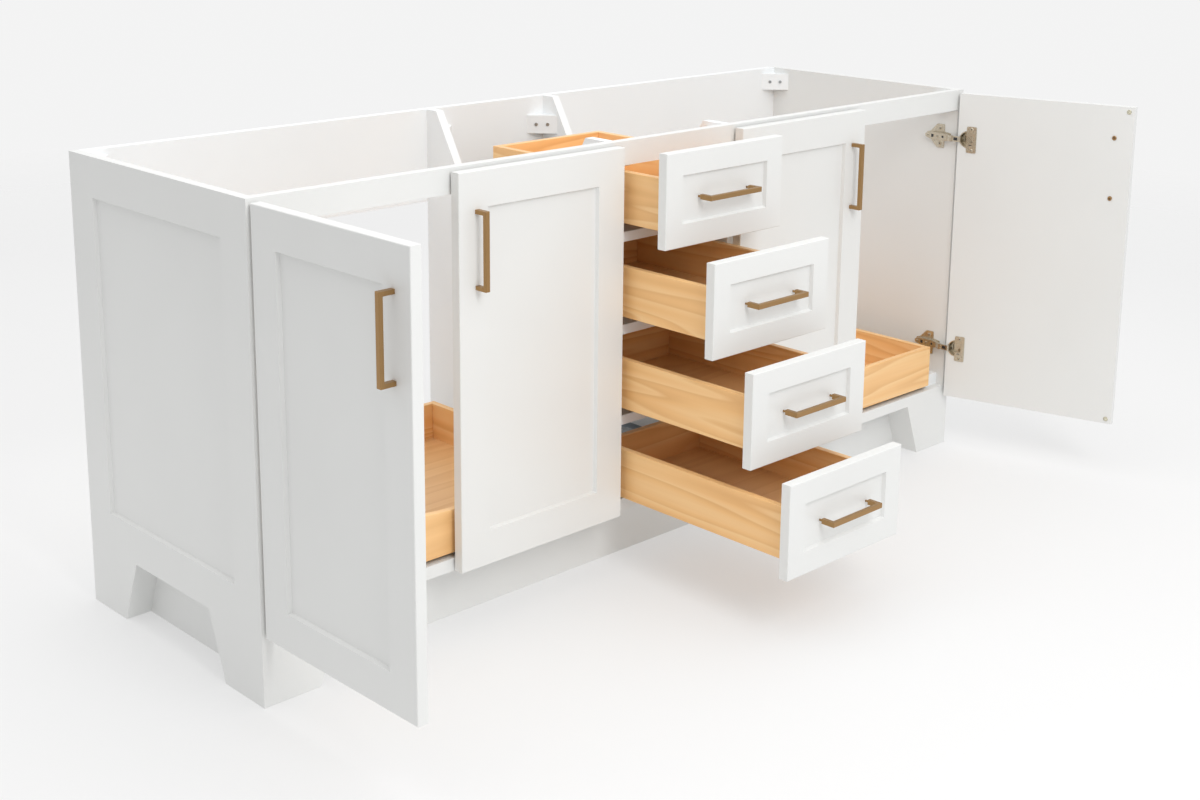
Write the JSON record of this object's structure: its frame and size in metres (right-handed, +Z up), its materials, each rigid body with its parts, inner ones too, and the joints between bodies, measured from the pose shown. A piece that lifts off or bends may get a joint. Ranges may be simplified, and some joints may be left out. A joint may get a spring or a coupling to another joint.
{
  "type": "bathroom vanity cabinet",
  "caption": "Freestanding double-basin vanity base cabinet with overlay framed doors, a centre bank of drawers, roll-out trays and bar pulls, open at the top.",
  "frame": {"origin": "on the floor at the wall face, half way along the cabinet", "axes": "+X to the right as seen from the front, +Y to the wall, +Z up"},
  "size_m": [1.9568, 0.9935, 0.815],
  "materials": {
    "white_paint": "satin white paint on wood",
    "white_interior": "satin white paint on board",
    "wood": "clear lacquered pine",
    "bronze": "brushed champagne bronze",
    "nickel": "plated nickel",
    "zinc": "zinc-plated steel",
    "dark_plastic": "moulded dark grey plastic"
  },
  "bodies": {
    "cabinet": {"side_panel_left": "white_paint", "side_panel_right": "white_paint", "partitions": "white_interior", "deck": "white_interior", "front_rails": "white_paint", "back_rails": "white_interior", "drawer_dividers": "white_interior", "plinth": "white_paint", "feet": "white_paint", "corner_blocks": "white_interior", "corner_block_screws": "zinc", "hinge_arms": "nickel", "runner_cabinet_members": "zinc", "tray_spacers": "white_interior"},
    "door_left_outer": {"door_left_outer_frame": "white_paint", "door_left_outer_panel": "white_paint", "door_left_outer_pull": "bronze", "door_left_outer_hinge_cups": "nickel"},
    "door_left_inner": {"door_left_inner_frame": "white_paint", "door_left_inner_panel": "white_paint", "door_left_inner_pull": "bronze", "door_left_inner_hinge_cups": "nickel"},
    "door_right_inner": {"door_right_inner_frame": "white_paint", "door_right_inner_panel": "white_paint", "door_right_inner_pull": "bronze", "door_right_inner_hinge_cups": "nickel"},
    "door_right_outer": {"door_right_outer_frame": "white_paint", "door_right_outer_panel": "white_paint", "door_right_outer_pull": "bronze", "door_right_outer_hinge_cups": "nickel"},
    "drawer_top": {"drawer_top_front": "white_paint", "drawer_top_pull": "bronze", "drawer_top_box": "wood", "drawer_top_runners": "zinc", "drawer_top_clips": "dark_plastic"},
    "drawer_top_runner_middle": {"drawer_top_runner_middles": "zinc"},
    "drawer_second": {"drawer_second_front": "white_paint", "drawer_second_pull": "bronze", "drawer_second_box": "wood", "drawer_second_runners": "zinc", "drawer_second_clips": "dark_plastic"},
    "drawer_second_runner_middle": {"drawer_second_runner_middles": "zinc"},
    "drawer_third": {"drawer_third_front": "white_paint", "drawer_third_pull": "bronze", "drawer_third_box": "wood", "drawer_third_runners": "zinc", "drawer_third_clips": "dark_plastic"},
    "drawer_third_runner_middle": {"drawer_third_runner_middles": "zinc"},
    "drawer_bottom": {"drawer_bottom_front": "white_paint", "drawer_bottom_pull": "bronze", "drawer_bottom_box": "wood", "drawer_bottom_runners": "zinc", "drawer_bottom_clips": "dark_plastic"},
    "drawer_bottom_runner_middle": {"drawer_bottom_runner_middles": "zinc"},
    "tray_left": {"tray_left_box": "wood", "tray_left_runners": "zinc"},
    "tray_left_runner_middle": {"tray_left_runner_middles": "zinc"},
    "tray_right": {"tray_right_box": "wood", "tray_right_runners": "zinc"},
    "tray_right_runner_middle": {"tray_right_runner_middles": "zinc"}
  },
  "joints": [
    {"name": "door_left_outer_hinge", "type": "hinge", "parent": "cabinet", "child": "door_left_outer", "pos_m": [-0.9025, -0.562, 0.464], "axis": [0, 0, -1], "range_deg": [-89.5, 20.5]},
    {"name": "door_left_inner_hinge", "type": "hinge", "parent": "cabinet", "child": "door_left_inner", "pos_m": [-0.167, -0.562, 0.464], "axis": [0, 0, 1], "range_deg": [0, 88]},
    {"name": "door_right_inner_hinge", "type": "hinge", "parent": "cabinet", "child": "door_right_inner", "pos_m": [0.167, -0.562, 0.464], "axis": [0, 0, -1], "range_deg": [0, 88]},
    {"name": "door_right_outer_hinge", "type": "hinge", "parent": "cabinet", "child": "door_right_outer", "pos_m": [0.9025, -0.562, 0.464], "axis": [0, 0, 1], "range_deg": [-105, 5]},
    {"name": "drawer_top_slide", "type": "slide", "parent": "cabinet", "child": "drawer_top", "axis": [0, -1, 0], "range_m": [-0.09948, 0.34052]},
    {"name": "drawer_top_runner_slide", "type": "slide", "parent": "cabinet", "child": "drawer_top_runner_middle", "axis": [0, -1, 0], "range_m": [-0.04974, 0.17026]},
    {"name": "drawer_second_slide", "type": "slide", "parent": "cabinet", "child": "drawer_second", "axis": [0, -1, 0], "range_m": [-0.216, 0.224]},
    {"name": "drawer_second_runner_slide", "type": "slide", "parent": "cabinet", "child": "drawer_second_runner_middle", "axis": [0, -1, 0], "range_m": [-0.108, 0.112]},
    {"name": "drawer_third_slide", "type": "slide", "parent": "cabinet", "child": "drawer_third", "axis": [0, -1, 0], "range_m": [-0.30848, 0.13152]},
    {"name": "drawer_third_runner_slide", "type": "slide", "parent": "cabinet", "child": "drawer_third_runner_middle", "axis": [0, -1, 0], "range_m": [-0.15424, 0.06576]},
    {"name": "drawer_bottom_slide", "type": "slide", "parent": "cabinet", "child": "drawer_bottom", "axis": [0, -1, 0], "range_m": [-0.39648, 0.04352]},
    {"name": "drawer_bottom_runner_slide", "type": "slide", "parent": "cabinet", "child": "drawer_bottom_runner_middle", "axis": [0, -1, 0], "range_m": [-0.19824, 0.02176]},
    {"name": "tray_left_slide", "type": "slide", "parent": "cabinet", "child": "tray_left", "axis": [0, -1, 0], "range_m": [0, 0.008]},
    {"name": "tray_left_runner_slide", "type": "slide", "parent": "cabinet", "child": "tray_left_runner_middle", "axis": [0, -1, 0], "range_m": [0, 0.004]},
    {"name": "tray_right_slide", "type": "slide", "parent": "cabinet", "child": "tray_right", "axis": [0, -1, 0], "range_m": [0, 0.008]},
    {"name": "tray_right_runner_slide", "type": "slide", "parent": "cabinet", "child": "tray_right_runner_middle", "axis": [0, -1, 0], "range_m": [0, 0.004]}
  ],
  "couplings": [
    {"joint": "drawer_top_runner_slide", "follows": "drawer_top_slide", "ratio": 0.5},
    {"joint": "drawer_second_runner_slide", "follows": "drawer_second_slide", "ratio": 0.5},
    {"joint": "drawer_third_runner_slide", "follows": "drawer_third_slide", "ratio": 0.5},
    {"joint": "drawer_bottom_runner_slide", "follows": "drawer_bottom_slide", "ratio": 0.5},
    {"joint": "tray_left_runner_slide", "follows": "tray_left_slide", "ratio": 0.5},
    {"joint": "tray_right_runner_slide", "follows": "tray_right_slide", "ratio": 0.5}
  ]
}
